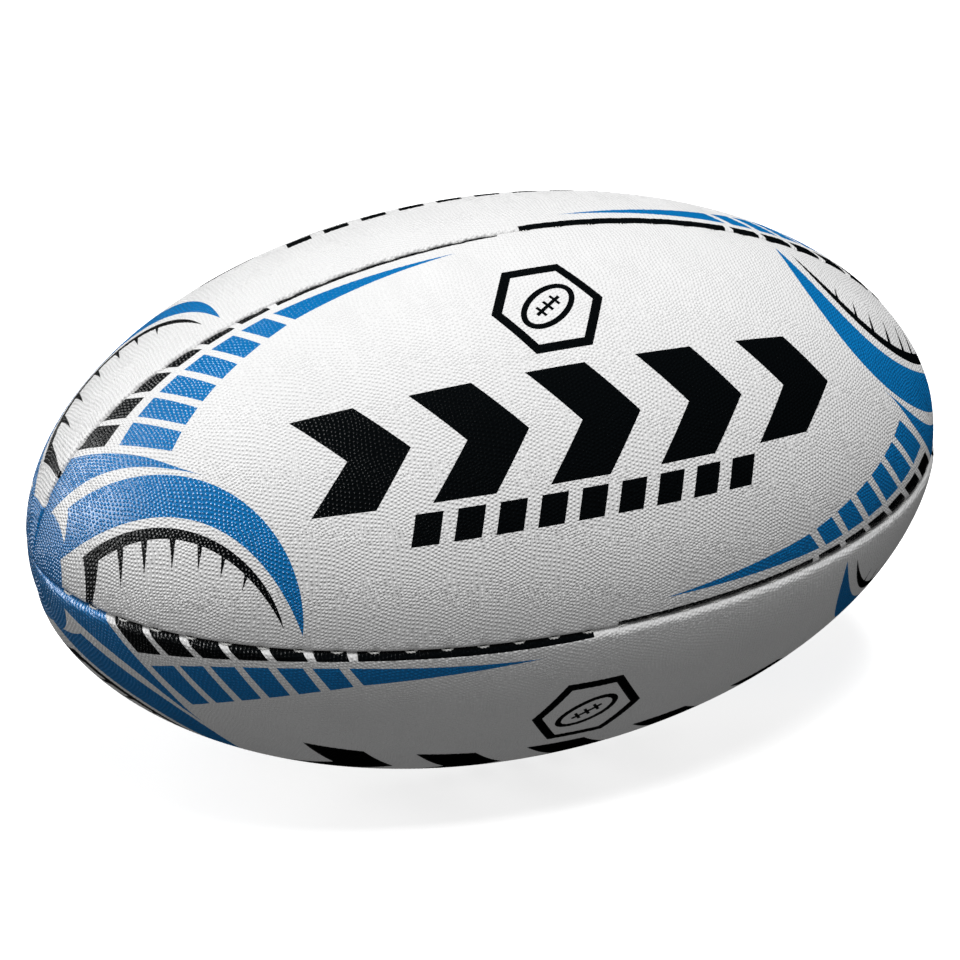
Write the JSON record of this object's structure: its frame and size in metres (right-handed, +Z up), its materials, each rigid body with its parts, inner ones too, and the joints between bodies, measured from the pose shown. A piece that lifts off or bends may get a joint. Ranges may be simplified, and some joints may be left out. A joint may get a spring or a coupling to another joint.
{
  "type": "rugby ball",
  "caption": "Oval rugby ball with a pebbled grip, sewn from rubber cover panels with polycotton backing over an inflated bladder with a push-in valve.",
  "frame": {"origin": "middle of the ball, on its long axis halfway between the two tips", "axes": "+X along the long axis, +Z up with the ball lying on its side, -Y towards the front panel's side"},
  "size_m": [0.3, 0.1765, 0.1766],
  "materials": {
    "cover_rubber": "pebbled satin rubber, white with blue and black print",
    "polycotton": "plain woven, unbleached",
    "sewing_thread": "waxed twisted polyester",
    "bladder_butyl": "smooth matt",
    "valve_rubber": "moulded matt",
    "plug_rubber": "moulded satin",
    "patch_canvas": "coarse woven canvas"
  },
  "bodies": {
    "root": {"backing_ply_1_front": "polycotton", "backing_ply_1_rear": "polycotton", "backing_ply_1_top": "polycotton", "backing_ply_1_under": "polycotton", "backing_ply_2_front": "polycotton", "backing_ply_2_rear": "polycotton", "backing_ply_2_top": "polycotton", "backing_ply_2_under": "polycotton", "backing_ply_3_front": "polycotton", "backing_ply_3_rear": "polycotton", "backing_ply_3_top": "polycotton", "backing_ply_3_under": "polycotton", "bladder": "bladder_butyl", "cover_skin_front": "cover_rubber", "cover_skin_rear": "cover_rubber", "cover_skin_top": "cover_rubber", "cover_skin_under": "cover_rubber", "seam_thread_front_to_top": "sewing_thread", "seam_thread_rear_to_under": "sewing_thread", "seam_thread_top_to_rear": "sewing_thread", "seam_thread_under_to_front": "sewing_thread", "valve_housing": "valve_rubber", "valve_patch": "patch_canvas", "valve_plug": "plug_rubber"}
  },
  "joints": []
}
